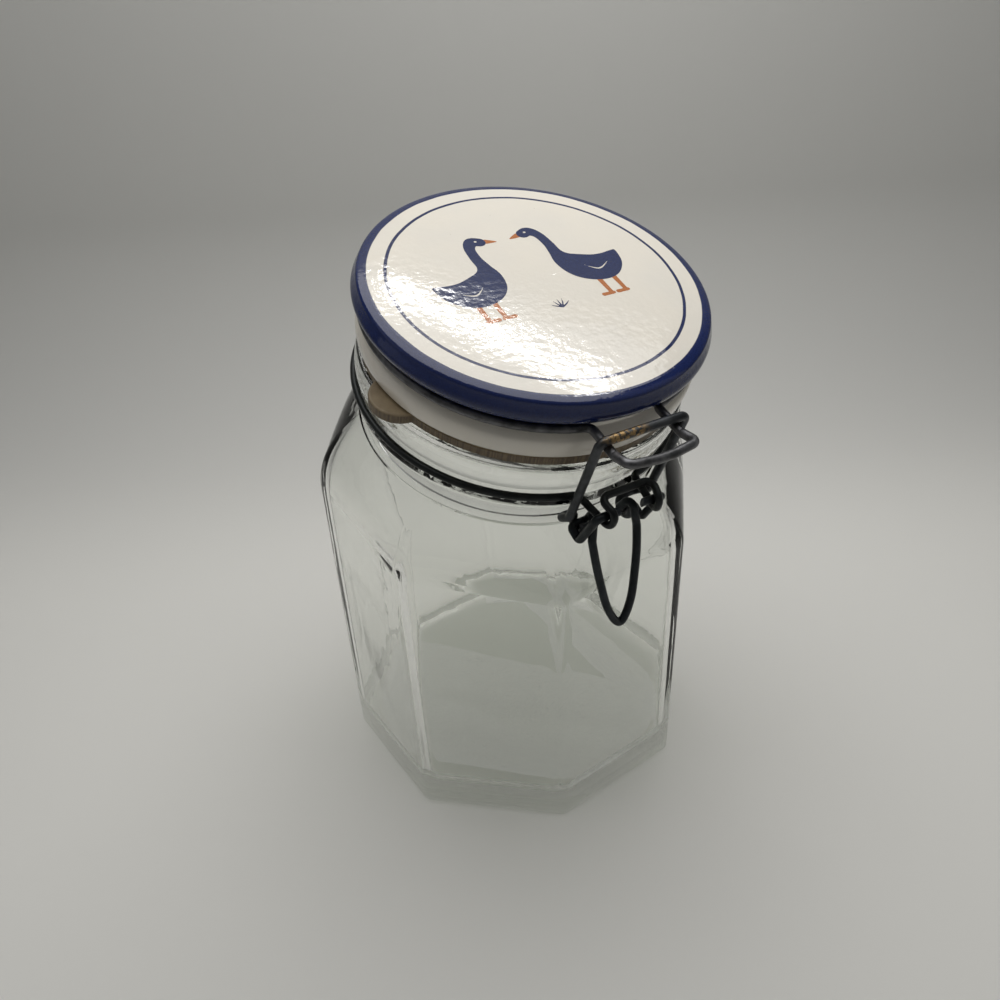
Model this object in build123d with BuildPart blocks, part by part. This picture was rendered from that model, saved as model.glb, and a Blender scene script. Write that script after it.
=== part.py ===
"""Glass storage jar with a slanted mouth, a glazed ceramic lid and a wire clasp.

Frame: millimetres, +Z up, origin in the middle of the base, clasp at -Y, lid hinge at +Y.
The mouth is slanted: it faces up and a little towards the clasp. Everything above the
shoulder is laid out on the neck plane (x across, y towards the hinge, z out of the mouth),
whose z = 0 is the middle of the wire that goes round the neck.
"""

import os
from math import atan2, cos, degrees, hypot, radians, sin, tan

from build123d import *

os.makedirs("parts", exist_ok=True)

# ---- jar body ----
body_r = 64.5            # across the corners of the octagon before rounding, radius
body_turn = 5.2          # the octagon's facets are turned this far from the clasp
wall = 3.6
corner_r = 3.2           # rounding of the upright edges outside, and inside
inner_corner_r = 8.0
floor_t = 8.0
floor_round = 7.0        # inside corner between floor and wall
base_round = 2.4
shoulder_z = 105.3       # middle height where the facets start to turn in
shoulder_tilt = 10.8
side_swell = 0.12        # the moulded facets are very slightly convex

# ---- neck and mouth, on the neck plane ----
neck_tilt = 20.4
neck_y = -8.3
neck_z = 143.8
neck_r = 47.2            # plain part under the beads
neck_foot = -14.5        # where the shoulder runs out
foot_blend = 1.9         # the shoulder flows into the neck over this much
bead_r = 51.1
groove_r = 50.0          # the neck wire lies here
groove_low, groove_high = -2.1, 1.4
mouth_top = 10.4
bore_r = 44.0
bore_foot_r = 43.4

# ---- lid ----
lid_top = 35.2
rim_r = 52.3             # coloured outer rim
rim_low = 26.5
lid_groove_r = 48.2
flange_r = 50.9
flange_low = 14.1
plug_r = 42.6
plug_low = 7.6
lid_hollow_r = 37.0
lid_hollow_top = 27.0

# ---- gasket ----
gasket_in = 42.8
gasket_out = 49.4
gasket_low = 10.5
gasket_top = 14.0
tab_angle = 190.8       # round the neck from +X
tab_w = 17.0
tab_out = 55.4

# ---- wires ----
neck_wire_r = 1.15
lid_wire_r = 1.3
clasp_wire_r = 1.3
bend = 2.3               # centre-line radius of the tight bends
lever_bend = 1.6
run_fit = 0.12           # radial play where a wire turns in an eye

neck_ring_r = groove_r + neck_wire_r + 0.05
neck_ring_h = -0.5
lid_ring_r = lid_groove_r + lid_wire_r + 0.1
lid_ring_h = 24.9
run_in = 3.3             # straight run where a ring turns out into a leg

# clasp points: y is the distance out from the neck axis, towards the clasp
pivot_out, pivot_h = 61.5, 2.0        # lever pins in the ears of the neck wire
axle_out, axle_h = 52.6, -11.2        # link hooks on the lever
knee_out, knee_h = 57.6, -12.2        # bottom of the crank
hook_x = 8.4
crank_x = 11.2
inner_x = 5.6            # inner end of the lever's axle
ear_x, ear_low_x = 7.5, 8.0
pin_end_x = 4.0
cross_x, cross_out, cross_h = 9.0, 57.6, 5.7
link_x, link_out, link_h = 13.95, 56.4, 27.8
link_knee_out, link_knee_h = 53.9, -4.5     # below this the link legs lean in behind the axle
lip_x, lip_out, lip_h = 10.9, 65.2, 27.2
lip_bow = 1.0
handle_top_x, handle_top_out, handle_top_h = 6.6, 55.3, -3.4
handle_low_out, handle_low_h = 73.9, -39.1
handle_leg_x = 8.0

# hinge points: y is the distance out from the neck axis, away from the clasp
hinge_out, hinge_h = 57.5, 3.6
hinge_eye_x = 6.0
hinge_leg_x = 9.3
hinge_pin_end_x = 2.8
hinge_leg_out = 55.6

t = radians(neck_tilt)
neck = Plane(origin=(0, neck_y, neck_z), x_dir=(1, 0, 0), z_dir=(0, -sin(t), cos(t)))
turning = Plane(origin=neck.origin, x_dir=(1, 0, 0), z_dir=(0, -cos(t), -sin(t)))
neck_axis = Axis(neck.origin, neck.z_dir)


# ================= glass jar =================
def octagon(plane, across, along, flat, edge_r, edge_deg):
    """Eight-sided outline with rounded corners on a plane, for a size of 1 stretched to across
    and along: flat is the distance to the middle of a side, edge_r the distance to the ends of
    the sides, which lie edge_deg either way from the corner."""
    def at(deg, k):
        return (across * k * cos(radians(deg)), along * k * sin(radians(deg)))
    chord, rise = edge_r * sin(radians(22.5 - edge_deg)), flat - edge_r * cos(radians(22.5 - edge_deg))
    bow = 2 * atan2(rise, chord)
    tip = edge_r * (cos(radians(edge_deg)) + sin(radians(edge_deg)) * tan((radians(22.5) - bow) / 2))
    with BuildSketch(plane) as outline:
        with BuildLine():
            for n in range(8):
                c = 22.5 + body_turn + 45 * n
                ThreePointArc(at(c - edge_deg, edge_r), at(c, tip), at(c + edge_deg, edge_r))
                ThreePointArc(at(c + edge_deg, edge_r), at(c + 22.5, flat), at(c + 45 - edge_deg, edge_r))
        make_face()
    return outline.sketch


def body_section(plane, shrink, corner, stretch=1.0, k=0.0, top_r=0.0, top_stretch=1.0):
    """Outline of the body, drawn in by shrink; k blends it into a circle of radius top_r."""
    r0 = body_r - shrink / cos(radians(22.5))
    half = sin(radians(22.5)) - corner / r0 * tan(radians(22.5))
    edge_r, edge_deg = hypot(cos(radians(22.5)), half), 22.5 - degrees(atan2(half, cos(radians(22.5))))
    flat = cos(radians(22.5)) + side_swell / r0
    size = r0 + (top_r - r0) * k
    return octagon(plane, size, r0 * stretch + (top_r * top_stretch - r0 * stretch) * k,
                   flat + (1 - flat) * k, edge_r + (1 - edge_r) * k, edge_deg)


def shoulder_section(k, shrink, corner, top_r):
    """One level of the shoulder: k 0 at the top of the facets, 1 at the foot of the neck. It
    starts out upright, flush with the facets."""
    s = radians(shoulder_tilt)
    tilt = s + (t - s) * k
    top_y = neck_y - neck_foot * sin(t)
    top_z = neck_z + neck_foot * cos(t)
    level = Plane(origin=(0, top_y * k * k, shoulder_z + (top_z - shoulder_z) * k),
                  x_dir=(1, 0, 0), z_dir=(0, -sin(tilt), cos(tilt)))
    return body_section(level, shrink, corner, 1 / cos(tilt), k * k, top_r + foot_blend,
                        cos(t) / cos(tilt))


def shoulder(shrink, corner, top_r):
    loft([shoulder_section(k, shrink, corner, top_r) for k in (0, 0.2, 0.4, 0.6, 0.8, 0.98)])


with BuildPart() as jar_cavity:
    low = Plane.XY.offset(floor_t)
    loft([body_section(low, wall, inner_corner_r),
          shoulder_section(0, wall, inner_corner_r, bore_foot_r)], ruled=True)
    floor_edges = jar_cavity.edges().group_by(Axis.Z)[0]
    fillet(floor_edges, radius=floor_round)
    shoulder(wall, inner_corner_r, bore_foot_r)

with BuildPart() as glass_jar:
    loft([body_section(Plane.XY, 0, corner_r),
          shoulder_section(0, 0, corner_r, neck_r)], ruled=True)
    base_edges = glass_jar.edges().group_by(Axis.Z)[0]
    fillet(base_edges, radius=base_round)
    shoulder(0, corner_r, neck_r)
    # neck with two beads and the groove for the neck wire between them
    with BuildSketch(turning):
        with BuildLine():
            Polyline((0, neck_foot - 2.5), (neck_r + foot_blend, neck_foot - 2.5),
                     (neck_r + foot_blend, neck_foot))
            Spline((neck_r + foot_blend, neck_foot), (neck_r, neck_foot + 3.4),
                   tangents=((-0.78, 0.63), (0, 1)))
            Line((neck_r, neck_foot + 3.4), (neck_r, -8.6))
            Spline((neck_r, -8.6), (bead_r - 0.9, -6.4), (bead_r, -4.6), (groove_r, groove_low),
                   tangents=((0, 1), (-0.35, 1)))
            Line((groove_r, groove_low), (groove_r, groove_high))
            Spline((groove_r, groove_high), (bead_r - 0.1, 3.6), (bead_r - 0.2, 7.6),
                   (bead_r - 2.4, mouth_top), tangents=((0.4, 1), (-1, 0)))
            Polyline((bead_r - 2.4, mouth_top), (0, mouth_top), (0, neck_foot - 2.5))
        make_face()
    revolve(axis=neck_axis)
    add(jar_cavity.part, mode=Mode.SUBTRACT)
    # bore of the mouth
    with BuildSketch(turning):
        with BuildLine():
            Polyline((0, neck_foot - 2.5), (bore_foot_r + foot_blend, neck_foot - 2.5),
                     (bore_foot_r + foot_blend, neck_foot))
            Spline((bore_foot_r + foot_blend, neck_foot), (bore_foot_r, neck_foot + 3.4),
                   tangents=((-0.78, 0.63), (0, 1)))
            Polyline((bore_foot_r, neck_foot + 3.4), (bore_r, mouth_top - 1.6),
                     (bore_r + 1.6, mouth_top), (bore_r + 1.6, mouth_top + 1), (0, mouth_top + 1),
                     (0, neck_foot - 2.5))
        make_face()
    revolve(axis=neck_axis, mode=Mode.SUBTRACT)
glass_jar.part.label = "glass_jar"
export_step(glass_jar.part, "parts/glass_jar.step")


# ================= ceramic lid =================
with BuildPart() as ceramic_lid:
    with BuildSketch(turning):
        with BuildLine():
            Polyline((0, lid_hollow_top), (lid_hollow_r - 4, lid_hollow_top),
                     (lid_hollow_r, lid_hollow_top - 4), (lid_hollow_r, plug_low + 1.2),
                     (lid_hollow_r + 1.2, plug_low), (plug_r - 1.2, plug_low),
                     (plug_r, plug_low + 1.2), (plug_r, flange_low), (flange_r - 2.2, flange_low))
            Spline((flange_r - 2.2, flange_low), (flange_r - 0.1, 16.4), (flange_r - 0.2, 20.6),
                   (lid_groove_r, lid_ring_h - 1.5), tangents=((1, 0.1), (-0.8, 1)))
            Line((lid_groove_r, lid_ring_h - 1.5), (lid_groove_r, rim_low))
            Spline((lid_groove_r, rim_low), (rim_r - 0.8, rim_low + 1.9), (rim_r, 30.2),
                   (rim_r - 1.1, 33.4), (rim_r - 3.6, lid_top), tangents=((1, 0.1), (-1, 0.12)))
            Spline((rim_r - 3.6, lid_top), (30, lid_top + 0.25), (0, lid_top + 0.4),
                   tangents=((-1, 0.02), (-1, 0)))
            Line((0, lid_top + 0.4), (0, lid_hollow_top))
        make_face()
    revolve(axis=neck_axis)
ceramic_lid.part.label = "ceramic_lid"
export_step(ceramic_lid.part, "parts/ceramic_lid.step")


# ================= rubber gasket =================
with BuildPart() as rubber_gasket:
    with BuildSketch(neck.offset(gasket_low)):
        Circle(gasket_out)
        # pull tab: a rounded tongue that sticks out over the side of the neck
        with Locations(Location((0, 0), tab_angle)):
            with Locations(((gasket_out + tab_out - tab_w / 2) / 2 - 2, 0)):
                Rectangle(tab_out - tab_w / 2 - gasket_out + 4, tab_w)
            with Locations((tab_out - tab_w / 2, 0)):
                Circle(tab_w / 2)
        Circle(gasket_in, mode=Mode.SUBTRACT)
    extrude(amount=gasket_top - gasket_low)
    fillet(rubber_gasket.faces().sort_by(neck_axis)[-1].outer_wire().edges(), radius=0.7)
    fillet(rubber_gasket.faces().sort_by(neck_axis)[0].outer_wire().edges(), radius=0.7)
rubber_gasket.part.label = "rubber_gasket"
export_step(rubber_gasket.part, "parts/rubber_gasket.step")


# ================= wires =================
def turn_out(ring_r, h, deg, side):
    """Where a ring ends, deg off the clasp side (side -1) or the hinge side (side 1), and the
    corner after its straight run-in, both for the -x half."""
    a = radians(deg)
    end = (-ring_r * sin(a), side * ring_r * cos(a), h)
    corner = (end[0] + run_in * cos(a), end[1] + side * run_in * sin(a), h)
    return end, corner


def across(points):
    """The same points on the +x half, in reverse order."""
    return [(-x, y, z) for x, y, z in reversed(points)]


def wire_section(path, radius):
    with BuildSketch(Plane(origin=path @ 0, z_dir=path % 0)) as section:
        Circle(radius)
    return section.sketch


# ---- neck wire: hinge eyes, ring in the groove, two ears and a bar between them ----
ear = neck_wire_r + clasp_wire_r + run_fit
hinge_eye = neck_wire_r + lid_wire_r + run_fit
front_end, front_corner = turn_out(neck_ring_r, neck_ring_h, 14.7, -1)
rear_end, rear_corner = turn_out(neck_ring_r, neck_ring_h, 10.4, 1)
hinge_end = [(-hinge_eye_x, hinge_out - hinge_eye, hinge_h - 0.2),
             (-hinge_eye_x, hinge_out - hinge_eye, hinge_h + hinge_eye),
             (-hinge_eye_x, hinge_out + hinge_eye, hinge_h + hinge_eye),
             (-hinge_eye_x, hinge_out + hinge_eye, hinge_h - hinge_eye),
             (-hinge_eye_x, rear_corner[1] + 2.5, 0.0), rear_corner, rear_end]
ear_run = [front_end, front_corner,
           (-ear_low_x, -pivot_out - ear, pivot_h - ear),
           (-ear_x, -pivot_out - ear, pivot_h + ear),
           (-cross_x, -cross_out, cross_h)]

with BuildPart() as neck_wire:
    with BuildLine(neck) as neck_path:
        FilletPolyline(*hinge_end, radius=bend)
        ThreePointArc(rear_end, (-neck_ring_r, 0, neck_ring_h), front_end)
        FilletPolyline(*ear_run, *across(ear_run), radius=bend)
        ThreePointArc(across([front_end])[0], (neck_ring_r, 0, neck_ring_h),
                      across([rear_end])[0])
        FilletPolyline(*across(hinge_end), radius=bend)
    sweep(sections=wire_section(neck_path.line, neck_wire_r), path=neck_path.line)
neck_wire.part.label = "neck_wire"
export_step(neck_wire.part, "parts/neck_wire.step")

# ---- lid wire: hinge pins, two hinge legs, ring under the rim, and the lip in front ----
lip_end, lip_corner = turn_out(lid_ring_r, lid_ring_h, 16.4, -1)
leg_end, leg_corner = turn_out(lid_ring_r, lid_ring_h, 14.6, 1)
hinge_leg = [(-hinge_pin_end_x, hinge_out, hinge_h), (-hinge_leg_x, hinge_out, hinge_h),
             (-hinge_leg_x, hinge_leg_out, lid_ring_h), leg_corner, leg_end]
lip_run = [lip_end, lip_corner, (-lip_x, -link_out - 3, lid_ring_h + 0.1),
           (-lip_x, -lip_out, lip_h), (-2.5, -lip_out - lip_bow, lip_h - 0.2)]

with BuildPart() as lid_wire:
    with BuildLine(neck) as lid_path:
        FilletPolyline(*hinge_leg, radius=bend)
        ThreePointArc(leg_end, (-lid_ring_r, 0, lid_ring_h), lip_end)
        FilletPolyline(*lip_run, *across(lip_run), radius=bend)
        ThreePointArc(across([lip_end])[0], (lid_ring_r, 0, lid_ring_h), across([leg_end])[0])
        FilletPolyline(*across(hinge_leg), radius=bend)
    sweep(sections=wire_section(lid_path.line, lid_wire_r), path=lid_path.line)
lid_wire.part.label = "lid_wire"
export_step(lid_wire.part, "parts/lid_wire.step")

# ---- lever: pins, cranks, link axles and the hanging finger loop, all one wire ----
half_lever = [(-pin_end_x, -pivot_out, pivot_h), (-crank_x, -pivot_out, pivot_h),
              (-crank_x, -knee_out, knee_h), (-crank_x, -axle_out, axle_h),
              (-inner_x, -axle_out, axle_h),
              (-handle_top_x, -handle_top_out, handle_top_h),
              (-handle_leg_x, -59.5, -11.9)]

with BuildPart() as lever:
    with BuildLine(neck) as lever_path:
        FilletPolyline(*half_lever, radius=lever_bend)
        Spline(half_lever[-1], (-7.3, -63.6, -19.1), (-5.8, -68.0, -27.4), (-3.4, -72.0, -35.2),
               (0, -handle_low_out, handle_low_h), (3.4, -72.0, -35.2), (5.8, -68.0, -27.4),
               (7.3, -63.6, -19.1), across(half_lever)[0])
        FilletPolyline(*across(half_lever), radius=lever_bend)
    sweep(sections=wire_section(lever_path.line, clasp_wire_r), path=lever_path.line)
lever.part.label = "lever"
export_step(lever.part, "parts/lever.step")

# ---- link: hooks round the lever's axles, two legs and the bar that holds the lid's lip ----
# Each hook is a nearly round eye; the run that leads to it passes behind the axle.
hook = clasp_wire_r * 2 + run_fit
eye_side = hook * tan(radians(22.5))
run_out, run_h = axle_out - hook, axle_h - eye_side + 3.25


def round_axle(deg, r):
    return (-hook_x, -axle_out - r * cos(radians(deg)), axle_h + r * sin(radians(deg)))


half_link = [round_axle(45, hook),
             *[round_axle(a, hypot(hook, eye_side)) for a in (22.5, -22.5, -67.5, -112.5, -157.5)],
             (-hook_x, -run_out, run_h), (-link_x, -run_out, run_h),
             (-link_x, -link_knee_out, link_knee_h), (-link_x, -link_out, link_h)]

with BuildPart() as link:
    with BuildLine(neck) as link_path:
        FilletPolyline(*half_link, *across(half_link), radius=bend)
    sweep(sections=wire_section(link_path.line, clasp_wire_r), path=link_path.line)
link.part.label = "link"
export_step(link.part, "parts/link.step")
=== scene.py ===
"""Glass storage canister with a slanted mouth, a glazed ceramic lid and a wire clasp: finishes,
the decoration printed on the lid, stage, light and camera. Metres, +Z up, clasp at -Y."""

import math

import bpy
import numpy as np
from mathutils import Matrix, Vector
from mathutils.bvhtree import BVHTree


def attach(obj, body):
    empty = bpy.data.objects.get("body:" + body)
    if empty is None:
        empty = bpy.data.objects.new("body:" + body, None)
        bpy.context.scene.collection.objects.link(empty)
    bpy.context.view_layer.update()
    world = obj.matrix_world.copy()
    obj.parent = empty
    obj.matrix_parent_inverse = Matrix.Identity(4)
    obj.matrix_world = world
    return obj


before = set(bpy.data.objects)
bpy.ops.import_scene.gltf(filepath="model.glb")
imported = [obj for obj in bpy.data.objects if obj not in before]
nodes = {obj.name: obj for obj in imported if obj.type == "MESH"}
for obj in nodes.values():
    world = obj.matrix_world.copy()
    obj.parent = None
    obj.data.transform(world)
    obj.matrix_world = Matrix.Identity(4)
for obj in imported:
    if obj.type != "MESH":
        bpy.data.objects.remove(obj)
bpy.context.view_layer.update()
scene = bpy.context.scene

# The plane of the slanted neck, as in the CAD: its origin, and the way the mouth faces.
TILT = math.radians(20.4)
NECK = Vector((0, -0.0083, 0.1438))
MM = 0.001
to_neck = Matrix.Rotation(TILT, 4, "X")
neck_matrix = Matrix.Translation(NECK) @ to_neck

# Lid dimensions in mm on the neck plane, as in the CAD.
WHITE_R = 48.0           # the white top ends and the coloured rim begins
RIM_LOW = 26.3           # and the rim ends below
RIM_EDGE = 33.0          # height of the rim's rounded edge
RING_R, RING_W = 42.85, 0.95
LID_TOP = 35.2
PRINT_LIFT = 0.00003     # metres from the glaze to the printed film


# ================= node helpers =================
class Tree:
    """A material's node tree, with short calls for the nodes used here."""

    def __init__(self, name):
        self.mat = bpy.data.materials.new(name)
        self.mat.use_nodes = True
        self.t = self.mat.node_tree
        self.t.nodes.clear()
        self.out = self.t.nodes.new("ShaderNodeOutputMaterial")

    def node(self, kind, settings=None, **inputs):
        n = self.t.nodes.new("ShaderNode" + kind)
        for k, v in (settings or {}).items():
            setattr(n, k, v)
        for k, v in inputs.items():
            numbered = k[0] == "i" and k[1:].isdigit()
            self.put(n.inputs[int(k[1:]) if numbered else k.replace("_", " ")], v)
        return n

    def put(self, socket, value):
        if isinstance(value, bpy.types.NodeSocket):
            self.t.links.new(value, socket)
        elif isinstance(value, bpy.types.Node):
            self.t.links.new(value.outputs[0], socket)
        else:
            socket.default_value = value

    def math(self, op, a, b=0.0, c=0.0, clamp=False):
        return self.node("Math", {"operation": op, "use_clamp": clamp}, i0=a, i1=b, i2=c).outputs[0]

    def vec(self, op, a, b=(0, 0, 0)):
        n = self.node("VectorMath", {"operation": op}, i0=a, i1=b)
        return n.outputs["Value"] if op in ("LENGTH", "DISTANCE", "DOT_PRODUCT") else n.outputs[0]

    def ramp(self, value, low, high, to_low=0.0, to_high=1.0, smooth=True):
        return self.node("MapRange", {"interpolation_type": "SMOOTHSTEP" if smooth else "LINEAR"},
                         Value=value, From_Min=low, From_Max=high,
                         To_Min=to_low, To_Max=to_high).outputs[0]

    def mix(self, factor, a, b):
        n = self.node("Mix", {"data_type": "RGBA"})
        self.put(n.inputs[0], factor)
        for s, v in ((6, a), (7, b)):
            self.put(n.inputs[s], (*v, 1) if isinstance(v, tuple) and len(v) == 3 else v)
        return n.outputs[2]

    def noise(self, vector, scale, detail=3.0, rough=0.5):
        return self.node("TexNoise", Vector=vector, Scale=scale, Detail=detail,
                         Roughness=rough).outputs[0]

    def bump(self, height, distance, strength=1.0, normal=None):
        n = self.node("Bump", Height=height, Distance=distance, Strength=strength)
        if normal is not None:
            self.put(n.inputs["Normal"], normal)
        return n.outputs[0]

    def principled(self, **inputs):
        n = self.node("BsdfPrincipled", **inputs)
        self.t.links.new(n.outputs[0], self.out.inputs[0])
        return n

    def lid_axes(self):
        """(point in mm on the neck plane's own axes, distance from the neck's axis, height)."""
        at = self.node("TexCoord").outputs["Object"]
        moved = self.vec("SUBTRACT", at, tuple(NECK))
        turned = self.node("VectorRotate", {"rotation_type": "X_AXIS"}, Vector=moved, Angle=-TILT)
        point = self.node("VectorMath", {"operation": "SCALE"}, i0=turned.outputs[0],
                          Scale=1000.0).outputs[0]
        flat = self.vec("MULTIPLY", point, (1, 1, 0))
        height = self.node("SeparateXYZ", Vector=point).outputs[2]
        return point, self.vec("LENGTH", flat), height


def in_mm(tree):
    """The point on the object, in mm."""
    at = tree.node("TexCoord").outputs["Object"]
    return tree.node("VectorMath", {"operation": "SCALE"}, i0=at, Scale=1000.0).outputs[0]


def glaze_bump(tree, at):
    """The slight orange peel of a fired glaze, and slower sags under it."""
    fine = tree.noise(at, 0.42, 2.0)
    slow = tree.noise(at, 0.06, 2.0)
    return tree.bump(slow, 0.00014, 1.0, tree.bump(fine, 0.00007, 1.0))


def finish(node, tree):
    """Give every slot of a CAD node the tree's material."""
    mesh_object = nodes[node]
    if not mesh_object.material_slots:
        mesh_object.data.materials.append(tree.mat)
    for s in mesh_object.material_slots:
        s.material = tree.mat


# ================= glazed ceramic lid =================
NAVY = (0.006, 0.013, 0.068)
NAVY_LIGHT = (0.012, 0.026, 0.125)
CREAM = (0.80, 0.755, 0.675)

lid = Tree("lid_glaze")
at, radius, height = lid.lid_axes()
wobble = lid.ramp(lid.noise(at, 0.09, 2.0), 0.3, 0.7, -0.10, 0.10, False)
r = lid.math("ADD", radius, wobble)
outside = lid.ramp(r, WHITE_R - 0.12, WHITE_R + 0.12)
above = lid.ramp(lid.math("ADD", height, wobble), RIM_LOW - 0.15, RIM_LOW + 0.15)
rim_mask = lid.math("MULTIPLY", outside, above)
off_ring = lid.math("ABSOLUTE", lid.math("SUBTRACT", r, RING_R))
ring_mask = lid.ramp(off_ring, RING_W / 2 - 0.1, RING_W / 2 + 0.1, 1.0, 0.0)
ring_mask = lid.math("MULTIPLY", ring_mask, lid.ramp(height, 33.5, 34.5))
speckle = lid.noise(at, 2.6, 4.0, 0.7)
navy = lid.mix(lid.ramp(speckle, 0.35, 0.75), NAVY, NAVY_LIGHT)
# thin navy over the edges of the rim lets the body show a little
off_edge = lid.math("ABSOLUTE", lid.math("SUBTRACT", height, RIM_EDGE))
worn = lid.ramp(off_edge, 0.0, 2.2, 0.35, 0.0)
navy = lid.mix(worn, navy, NAVY_LIGHT)
blotch = lid.ramp(lid.noise(at, 0.05, 3.0), 0.3, 0.75)
cream = lid.mix(blotch, CREAM, (0.77, 0.735, 0.67))
# a few pin-prick specks in the white glaze
pins = lid.node("TexVoronoi", {"feature": "F1"}, Vector=at, Scale=0.16, Randomness=1.0)
speck = lid.ramp(pins.outputs["Distance"], 0.018, 0.03, 0.5, 0.0)
cream = lid.mix(speck, cream, (0.30, 0.24, 0.17))
colour = lid.mix(lid.math("MAXIMUM", rim_mask, ring_mask), cream, navy)
lid.principled(Base_Color=colour, Roughness=0.09, IOR=1.5, Specular_IOR_Level=0.5,
               Coat_Weight=0.0, Normal=glaze_bump(lid, at))
finish("ceramic_lid", lid)


# ================= rubber gasket =================
rubber = Tree("gasket_rubber")
at, radius, height = rubber.lid_axes()
streak_at = rubber.vec("MULTIPLY", at, (1, 1, 0.05))
streaks = rubber.noise(streak_at, 1.7, 4.0, 0.65)
side = rubber.ramp(radius, 48.2, 49.6)
patch = rubber.noise(at, 0.11, 4.0, 0.6)
tan = rubber.mix(rubber.ramp(patch, 0.3, 0.72), (0.34, 0.265, 0.165), (0.22, 0.165, 0.10))
brown = rubber.mix(rubber.ramp(streaks, 0.35, 0.65), (0.20, 0.145, 0.085), (0.085, 0.062, 0.040))
body = rubber.mix(rubber.math("MULTIPLY", side, rubber.ramp(height, 13.9, 13.2)), tan, brown)
grain = rubber.noise(at, 1.1, 5.0, 0.65)
rubber.principled(Base_Color=body, Roughness=rubber.ramp(grain, 0.3, 0.7, 0.42, 0.62),
                  Normal=rubber.bump(grain, 0.00012, 0.6, rubber.bump(streaks, 0.00008, 0.5)))
finish("rubber_gasket", rubber)


# ================= clear glass =================
glass = Tree("clear_glass")
at = in_mm(glass)
wave = glass.noise(at, 0.022, 1.0)
ripple_at = glass.vec("MULTIPLY", at, (1, 1, 0.45))
ripple = glass.noise(ripple_at, 0.11, 2.0)
normal = glass.bump(wave, 0.0009, 1.0, glass.bump(ripple, 0.00007, 1.0))
shell = glass.node("BsdfPrincipled", Base_Color=(0.965, 0.975, 0.955, 1), Roughness=0.0, IOR=1.50,
                   Transmission_Weight=1.0, Normal=normal)
clear = glass.node("BsdfTransparent", Color=(0.87, 0.88, 0.865, 1))
light_path = glass.node("LightPath")
seen_by_light = glass.math("MAXIMUM", light_path.outputs["Is Shadow Ray"],
                           light_path.outputs["Is Diffuse Ray"])
both = glass.node("MixShader", i0=seen_by_light, i1=shell.outputs[0], i2=clear.outputs[0])
glass.t.links.new(both.outputs[0], glass.out.inputs[0])
finish("glass_jar", glass)


# ================= oxidised wires =================
def wire(name, dark, light, metal, rough, rust=None):
    """Dull wire between two greys; rust is (point in mm, reach in mm, tint) of a patch on it."""
    tree = Tree(name)
    at = in_mm(tree)
    patch = tree.noise(at, 0.22, 4.0, 0.6)
    scratch = tree.noise(tree.vec("MULTIPLY", at, (1, 1, 1)), 2.4, 5.0, 0.7)
    base = tree.mix(tree.ramp(patch, 0.32, 0.72), dark, light)
    bare = tuple(min(1, c * 2.6) for c in light)
    base = tree.mix(tree.ramp(scratch, 0.62, 0.80, 0.0, 0.55), base, bare)
    if rust is not None:
        place, reach, tint = rust
        near = tree.ramp(tree.vec("DISTANCE", at, place), reach * 0.35, reach, 1.0, 0.0)
        flecks = tree.ramp(tree.noise(at, 0.9, 4.0, 0.7), 0.42, 0.58)
        base = tree.mix(tree.math("MULTIPLY", near, flecks), base, tint)
    tree.principled(Base_Color=base, Metallic=metal,
                    Roughness=tree.ramp(patch, 0.3, 0.7, rough - 0.08, rough + 0.1),
                    Normal=tree.bump(scratch, 0.00003, 0.7, tree.bump(patch, 0.00012, 0.5)))
    return tree


RUST = ((-6.5, -71.2, 151.0), 8.5, (0.38, 0.25, 0.11))     # on the left half of the link's bar
for node, material, dark, light, metal, rough, rust in (
        ("neck_wire", "wire_black", (0.010, 0.012, 0.012), (0.022, 0.025, 0.026), 0.6, 0.36, None),
        ("lever", "wire_black_lever", (0.012, 0.015, 0.017), (0.032, 0.037, 0.042), 0.7, 0.38, None),
        ("lid_wire", "wire_grey", (0.065, 0.066, 0.069), (0.19, 0.19, 0.20), 0.85, 0.38, None),
        ("link", "wire_grey_link", (0.030, 0.033, 0.036), (0.085, 0.090, 0.097), 0.8, 0.40, RUST)):
    finish(node, wire(material, dark, light, metal, rough, rust))


# ================= decoration printed on the lid =================
# Two plain geese that mirror each other, laid out in mm on the neck plane's axes.
STEP = 0.24
grid_x = np.arange(-34, 34, STEP)
grid_y = np.arange(-27, 32, STEP)
GRID = np.meshgrid(grid_x, grid_y, indexing="ij")
FAR, THINNEST = 1000.0, 0.02


def curve_through(points, steps=14):
    """Points (x, y, half width) on a smooth line through the given ones."""
    p = [points[0]] + list(points) + [points[-1]]
    p = np.array(p, float)
    out = []
    for a, b, c, d in zip(p, p[1:], p[2:], p[3:]):
        for s in np.linspace(0, 1, steps, endpoint=False):
            out.append(0.5 * (2 * b + (c - a) * s + (2 * a - 5 * b + 4 * c - d) * s * s
                              + (3 * b - a - 3 * c + d) * s ** 3))
    out.append(p[-1])
    return np.array(out)


def brush(points):
    """Distance in mm to a brush stroke whose half width varies along it."""
    best = np.full(GRID[0].shape, FAR)
    for x, y, w in curve_through(points):
        best = np.minimum(best, np.hypot(GRID[0] - x, GRID[1] - y) - max(w, THINNEST))
    return best


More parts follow.
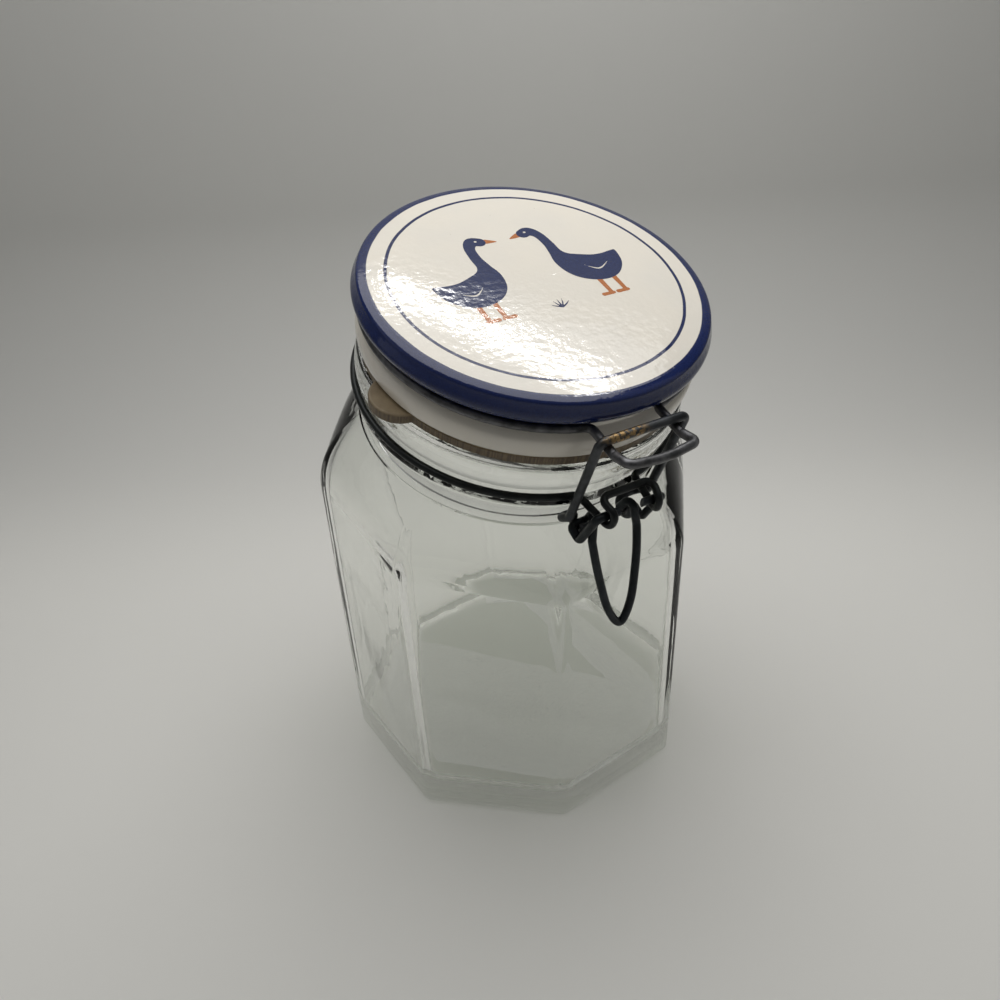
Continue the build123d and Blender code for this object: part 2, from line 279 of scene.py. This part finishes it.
def stamp(name, fields):
    """A thin printed film that covers where each field is negative, laid on the lid's top.
    fields is a list of (distance field, material)."""
    xs, ys = grid_x, grid_y
    top = BVHTree.FromObject(nodes["ceramic_lid"], bpy.context.evaluated_depsgraph_get())
    verts, faces, slots, index = [], [], [], {}

    def vertex(key, x, y):
        if key not in index:
            start = neck_matrix @ Vector((x * MM, y * MM, (LID_TOP + 8) * MM))
            down = -(neck_matrix.to_3x3() @ Vector((0, 0, 1)))
            hit = top.ray_cast(start, down)[0]
            index[key] = len(verts)
            verts.append(hit - down * PRINT_LIFT)
        return index[key]

    for slot, (field, _) in enumerate(fields):
        inside = field < 0
        for i in range(len(xs) - 1):
            for j in range(len(ys) - 1):
                block = inside[i:i + 2, j:j + 2]
                if not block.any():
                    continue
                corners = [(i, j), (i + 1, j), (i + 1, j + 1), (i, j + 1)]
                halves = [corners[:3], [corners[0], corners[2], corners[3]]]
                loops = [corners] if block.all() else halves
                for loop in loops:
                    face = []
                    for a, b in zip(loop, loop[1:] + loop[:1]):
                        fa, fb = field[a], field[b]
                        if fa < 0:
                            face.append(vertex(a, xs[a[0]], ys[a[1]]))
                        if (fa < 0) != (fb < 0):
                            s = fa / (fa - fb)
                            x = xs[a[0]] + (xs[b[0]] - xs[a[0]]) * s
                            y = ys[a[1]] + (ys[b[1]] - ys[a[1]]) * s
                            face.append(vertex((slot, *sorted((a, b))), x, y))
                    if len(face) > 2:
                        faces.append(face)
                        slots.append(slot)
    mesh = bpy.data.meshes.new(name)
    mesh.from_pydata(verts, [], faces)
    for _, material in fields:
        mesh.materials.append(material)
    mesh.polygons.foreach_set("material_index", slots)
    mesh.polygons.foreach_set("use_smooth", [True] * len(faces))
    mesh.update()
    piece = bpy.data.objects.new(name, mesh)
    scene.collection.objects.link(piece)
    return piece


def print_ink(name, dark, light):
    tree = Tree(name)
    at, _, _ = tree.lid_axes()
    screen = tree.noise(at, 2.2, 4.0, 0.7)
    base = tree.mix(tree.ramp(screen, 0.35, 0.72), dark, light)
    tree.principled(Base_Color=base, Roughness=0.09, IOR=1.5, Normal=glaze_bump(tree, at))
    return tree.mat


# One plain goose in profile, facing left, on its own axes in mm: strokes of (x, y, half width).
GOOSE_BODY = [(-9.5, 21.0, 2.0), (-7.2, 21.6, 2.1), (-5.2, 19.0, 1.7), (-4.6, 14.0, 1.7),
              (-4.8, 9.0, 2.2), (-3.8, 4.6, 4.0), (-0.6, 0.8, 6.0), (4.0, -0.8, 6.0),
              (8.4, 0.6, 4.2), (11.6, 3.2, 2.0), (13.4, 5.0, 0.4)]
GOOSE_BEAK = [(-11.2, 20.8, 1.1), (-13.0, 20.3, 0.7), (-14.6, 19.8, 0.2)]
GOOSE_LEGS = [0.5, 5.5]
GOOSE_AT, HIP, GROUND = 17.0, -5.0, -13.0


def goose(side):
    """(navy field, orange field) of the goose on one side of the middle, facing inwards; the two
    are mirror images of each other."""
    def put(strokes):
        return brush([(side * (GOOSE_AT + x), y, w) for x, y, w in strokes])

    navy = put(GOOSE_BODY)
    navy = np.maximum(navy, -put([(-8.6, 21.6, 0.4), (-8.5, 21.6, 0.4)]))
    navy = np.maximum(navy, -put([(0.0, 1.2, 0.1), (3.6, -1.6, 0.3), (8.0, 0.6, 0.1)]))
    orange = put(GOOSE_BEAK)
    for x in GOOSE_LEGS:
        orange = np.minimum(orange, put([(x, HIP, 0.9), (x, GROUND, 0.7)]))
        orange = np.minimum(orange, put([(x + 0.6, GROUND, 0.6), (x - 2.8, GROUND, 0.7)]))
    return navy, orange


def tuft(x, y, size):
    """Field of one tuft of grass blades that fan out from a point."""
    field = None
    for dx, dy in ((-4.0, 2.6), (-2.0, 4.4), (0.0, 5.2), (2.0, 4.4), (4.0, 2.6)):
        blade = brush([(x, y, 0.34 * size),
                       (x + dx * size * 0.55, y + dy * size * 0.45, 0.26 * size),
                       (x + dx * size, y + dy * size, 0.05)])
        field = blade if field is None else np.minimum(field, blade)
    return field


navy_left, orange_left = goose(-1)
navy_right, orange_right = goose(1)
navy_all = np.minimum(np.minimum(navy_left, navy_right), tuft(0.0, -14.0, 0.8))
orange_all = np.maximum(np.minimum(orange_left, orange_right), -navy_all)
navy_ink = print_ink("print_navy", (0.007, 0.015, 0.070), (0.014, 0.029, 0.120))
orange_ink = print_ink("print_orange", (0.42, 0.135, 0.035), (0.50, 0.18, 0.06))
geese = stamp("lid_decoration", [(navy_all, navy_ink), (orange_all, orange_ink)])
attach(geese, "lid")


# ================= stage =================
FORWARD = Vector((0.480, 0.877, 0))      # along the floor, away from the camera
SIDEWAYS = Vector((0.877, -0.480, 0))
SWEEP_AT, SWEEP_R, WALL_TOP = 0.17, 0.13, 1.3
HALF_FLOOR = 2.5


def sweep():
    """The floor, and the wall it curves up into."""
    profile = [(-HALF_FLOOR, 0.0), (SWEEP_AT - 0.02, 0.0)]
    profile += [(SWEEP_AT + SWEEP_R * math.sin(a), SWEEP_R * (1 - math.cos(a)))
                for a in np.linspace(0, math.pi / 2, 25)]
    profile.append((SWEEP_AT + SWEEP_R, WALL_TOP))
    verts, faces = [], []
    for forward, up in profile:
        for side in (-HALF_FLOOR, HALF_FLOOR):
            verts.append(FORWARD * forward + SIDEWAYS * side + Vector((0, 0, up)))
    for k in range(len(profile) - 1):
        faces.append((2 * k, 2 * k + 1, 2 * k + 3, 2 * k + 2))
    mesh = bpy.data.meshes.new("floor")
    mesh.from_pydata(verts, [], faces)
    mesh.polygons.foreach_set("use_smooth", [True] * len(faces))
    floor = bpy.data.objects.new("floor", mesh)
    scene.collection.objects.link(floor)
    tree = Tree("floor_paper")
    at = in_mm(tree)
    fibre = tree.noise(at, 1.2, 4.0)
    away = tree.vec("DOT_PRODUCT", at, tuple(FORWARD))
    # painted shade: the paper darkens from 60 mm to 290 mm away from the camera and up the wall,
    # standing in for light that falls off
    painted_falloff = tree.ramp(away, 60.0, 290.0)
    paper = tree.mix(painted_falloff, (0.755, 0.75, 0.725), (0.57, 0.57, 0.555))
    tree.principled(Base_Color=paper,
                    Roughness=0.62, Specular_IOR_Level=0.25, Normal=tree.bump(fibre, 0.00003, 0.3))
    mesh.materials.append(tree.mat)


sweep()


# ================= light =================
def area(name, place, turn, size, watts, colour):
    """An area light that faces straight down, its long side turned round the vertical."""
    data = bpy.data.lights.new(name, "AREA")
    data.shape = "RECTANGLE"
    data.size, data.size_y = size
    data.energy = watts
    data.color = colour
    lamp = bpy.data.objects.new(name, data)
    lamp.location = place
    lamp.rotation_mode = "QUATERNION"
    lamp.rotation_quaternion = Matrix.Rotation(math.radians(turn), 3, "Z").to_quaternion()
    scene.collection.objects.link(lamp)


area("strip", (0.115, 0.077, 0.42), -45, (0.17, 0.009), 0.16, (1, 0.985, 0.95))
area("panel", (0.02, 0.05, 0.62), -28.7, (0.60, 0.50), 2.15, (1, 0.99, 0.97))

world = bpy.data.worlds.new("world")
world.use_nodes = True
scene.world = world
w = world.node_tree
w.nodes.clear()
out = w.nodes.new("ShaderNodeOutputWorld")
back = w.nodes.new("ShaderNodeBackground")
# The room is dark towards the front, where the viewer stands, and pale elsewhere.
way = w.nodes.new("ShaderNodeTexCoord")
dot = w.nodes.new("ShaderNodeVectorMath")
dot.operation = "DOT_PRODUCT"
dot.inputs[1].default_value = FORWARD
w.links.new(way.outputs["Generated"], dot.inputs[0])
fade = w.nodes.new("ShaderNodeMapRange")
fade.interpolation_type = "SMOOTHSTEP"
FROM_FRONT, TO_SIDE, DARK, PALE = -0.95, 0.25, 0.09, 0.30
for k, value in enumerate((FROM_FRONT, TO_SIDE, DARK, PALE)):
    fade.inputs[k + 1].default_value = value
w.links.new(dot.outputs["Value"], fade.inputs[0])
back.inputs[0].default_value = (1.0, 1.0, 0.975, 1)
w.links.new(fade.outputs[0], back.inputs[1])
w.links.new(back.outputs[0], out.inputs[0])

scene.view_settings.view_transform = "Standard"
scene.view_settings.look = "None"
scene.cycles.max_bounces = 20
scene.cycles.transmission_bounces = 20
scene.cycles.transparent_max_bounces = 24
scene.cycles.glossy_bounces = 6
scene.cycles.diffuse_bounces = 4
scene.cycles.caustics_reflective = False
scene.cycles.caustics_refractive = False


# ================= camera =================
camera_data = bpy.data.cameras.new("camera")
camera_data.sensor_width = 36.0
camera_data.lens = 30.07
camera_data.clip_start, camera_data.clip_end = 0.01, 20
camera = bpy.data.objects.new("camera", camera_data)
pan, dip, roll = -0.50161, 0.55275, -0.05254
looking = Vector((-math.sin(pan) * math.cos(dip), math.cos(pan) * math.cos(dip), -math.sin(dip)))
right = Vector((math.cos(pan), math.sin(pan), 0))
up = right.cross(looking)
x_axis = math.cos(roll) * right + math.sin(roll) * up
y_axis = -math.sin(roll) * right + math.cos(roll) * up
camera.matrix_world = (Matrix.Translation((-0.124949, -0.219763, 0.248565))
                       @ Matrix((x_axis, y_axis, -looking)).transposed().to_4x4())
scene.collection.objects.link(camera)
scene.camera = camera
